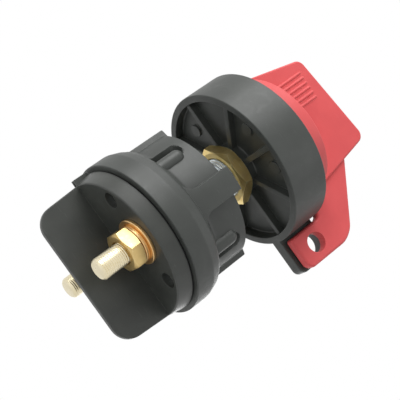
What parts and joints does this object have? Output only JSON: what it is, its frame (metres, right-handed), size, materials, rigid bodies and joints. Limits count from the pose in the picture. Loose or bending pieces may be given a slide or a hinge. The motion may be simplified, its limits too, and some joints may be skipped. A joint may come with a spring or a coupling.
{
  "type": "battery isolator switch",
  "caption": "Panel-mounted rotary battery isolator with a lockable red knob, a round black bezel and a black contact body with threaded terminal studs.",
  "frame": {"origin": "centre of the bezel's rim, in the plane where it meets the panel", "axes": "+Z along the shaft towards the knob, +X out through the padlock lugs, -Y towards the front terminal stud"},
  "size_m": [0.0988, 0.08, 0.1632],
  "materials": {
    "black_plastic": "semi-matte moulded, fine grain",
    "base_plastic": "semi-matte moulded, fine grain",
    "red_plastic": "soft satin moulded",
    "carrier_plastic": "natural nylon, matte",
    "seal_rubber": "matte",
    "panel_brass": "machined, dull yellow-olive",
    "nut_brass": "bright machined",
    "stud_brass": "pale, fine-threaded",
    "washer_bronze": "warm copper tone, dull",
    "bridge_copper": "bare copper, satin",
    "contact_silver": "satin silver",
    "zinc": "bluish-white zinc plate",
    "steel": "plain machined steel",
    "spring_steel": "drawn wire"
  },
  "bodies": {
    "housing": {"body_shell": "black_plastic", "terminal_base": "base_plastic", "base_gasket": "seal_rubber", "base_screws": "steel", "front_terminal_stud": "stud_brass", "rear_terminal_stud": "stud_brass", "fixed_contacts": "contact_silver", "terminal_washers": "washer_bronze", "spring_washers": "washer_bronze", "terminal_nuts": "nut_brass", "threaded_neck": "zinc", "panel_nut": "panel_brass", "bezel": "black_plastic", "lock_washer": "steel", "front_nut": "panel_brass", "index_plate": "steel"},
    "rotor": {"knob": "red_plastic", "knob_cap": "red_plastic", "knob_screw": "steel", "shaft": "zinc", "shaft_seal": "seal_rubber", "thrust_washer": "carrier_plastic", "retaining_ring": "spring_steel", "rotor_carrier": "carrier_plastic", "drive_pin": "steel", "contact_bridge": "bridge_copper", "bridge_contacts": "contact_silver", "contact_spring": "spring_steel", "detent_balls": "steel", "detent_springs": "spring_steel"}
  },
  "joints": [
    {"name": "knob_turn", "type": "hinge", "parent": "housing", "child": "rotor", "pos_m": [0, 0, 0], "axis": [0, 0, 1], "range_deg": [-90, 0]}
  ]
}
